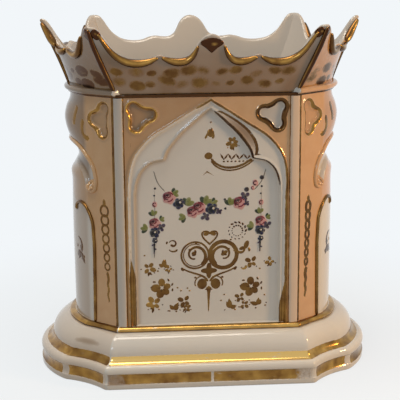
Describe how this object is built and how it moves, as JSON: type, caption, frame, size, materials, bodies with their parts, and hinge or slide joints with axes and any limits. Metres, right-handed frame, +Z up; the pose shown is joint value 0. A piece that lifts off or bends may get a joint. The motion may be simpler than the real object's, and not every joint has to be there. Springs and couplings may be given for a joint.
{
  "type": "veilleuse stand",
  "caption": "Open-topped porcelain night-lamp stand with a niche front, canted pilasters, bowed ends and a flared scalloped crown, holding a lift-out oil cup with wick.",
  "frame": {"origin": "under the middle of the plinth, on the surface that it stands on", "axes": "+X to the right along the front face, +Y away from the viewer to the back, +Z up"},
  "size_m": [0.193, 0.1154, 0.2],
  "materials": {
    "white_porcelain": "clear glossy glaze over white hard-paste porcelain",
    "apricot_porcelain": "apricot enamel ground fired on glossy glaze",
    "gilding": "burnished gold over glaze, worn thin on the edges",
    "lamp_porcelain": "plain glossy white glaze",
    "tinned_iron": "dull tin plate",
    "cotton_wick": "braided cotton"
  },
  "bodies": {
    "stand": {"plinth_foot": "white_porcelain", "plinth_moulding": "white_porcelain", "floor_slab": "white_porcelain", "front_panel": "apricot_porcelain", "back_panel": "apricot_porcelain", "front_tracery": "white_porcelain", "back_tracery": "white_porcelain", "front_arch_rib": "gilding", "back_arch_rib": "gilding", "front_left_colonnette": "white_porcelain", "front_right_colonnette": "white_porcelain", "back_left_colonnette": "white_porcelain", "back_right_colonnette": "white_porcelain", "front_left_pilaster": "apricot_porcelain", "front_right_pilaster": "apricot_porcelain", "back_left_pilaster": "apricot_porcelain", "back_right_pilaster": "apricot_porcelain", "left_end_wall": "white_porcelain", "right_end_wall": "white_porcelain", "left_end_plate": "white_porcelain", "right_end_plate": "white_porcelain", "left_hood": "apricot_porcelain", "right_hood": "apricot_porcelain", "left_scroll_curls": "gilding", "right_scroll_curls": "gilding", "cornice": "white_porcelain", "crown_front": "white_porcelain", "crown_back": "white_porcelain", "crown_front_left": "white_porcelain", "crown_front_right": "white_porcelain", "crown_back_left": "white_porcelain", "crown_back_right": "white_porcelain", "front_rim_scrolls": "gilding", "back_rim_scrolls": "gilding", "left_rim_scrolls": "gilding", "right_rim_scrolls": "gilding"},
    "godet": {"godet_cup": "lamp_porcelain"},
    "burner": {"godet_cover": "lamp_porcelain", "wick_tube": "tinned_iron"},
    "wick": {"wick": "cotton_wick"}
  },
  "joints": [
    {"name": "godet_lift", "type": "slide", "parent": "stand", "child": "godet", "axis": [0, 0, 1], "range_m": [0, 0.185]},
    {"name": "cover_lift", "type": "slide", "parent": "godet", "child": "burner", "axis": [0, 0, 1], "range_m": [0, 0.045]},
    {"name": "wick_draw", "type": "slide", "parent": "burner", "child": "wick", "axis": [0, 0, 1], "range_m": [0, 0.006]}
  ]
}
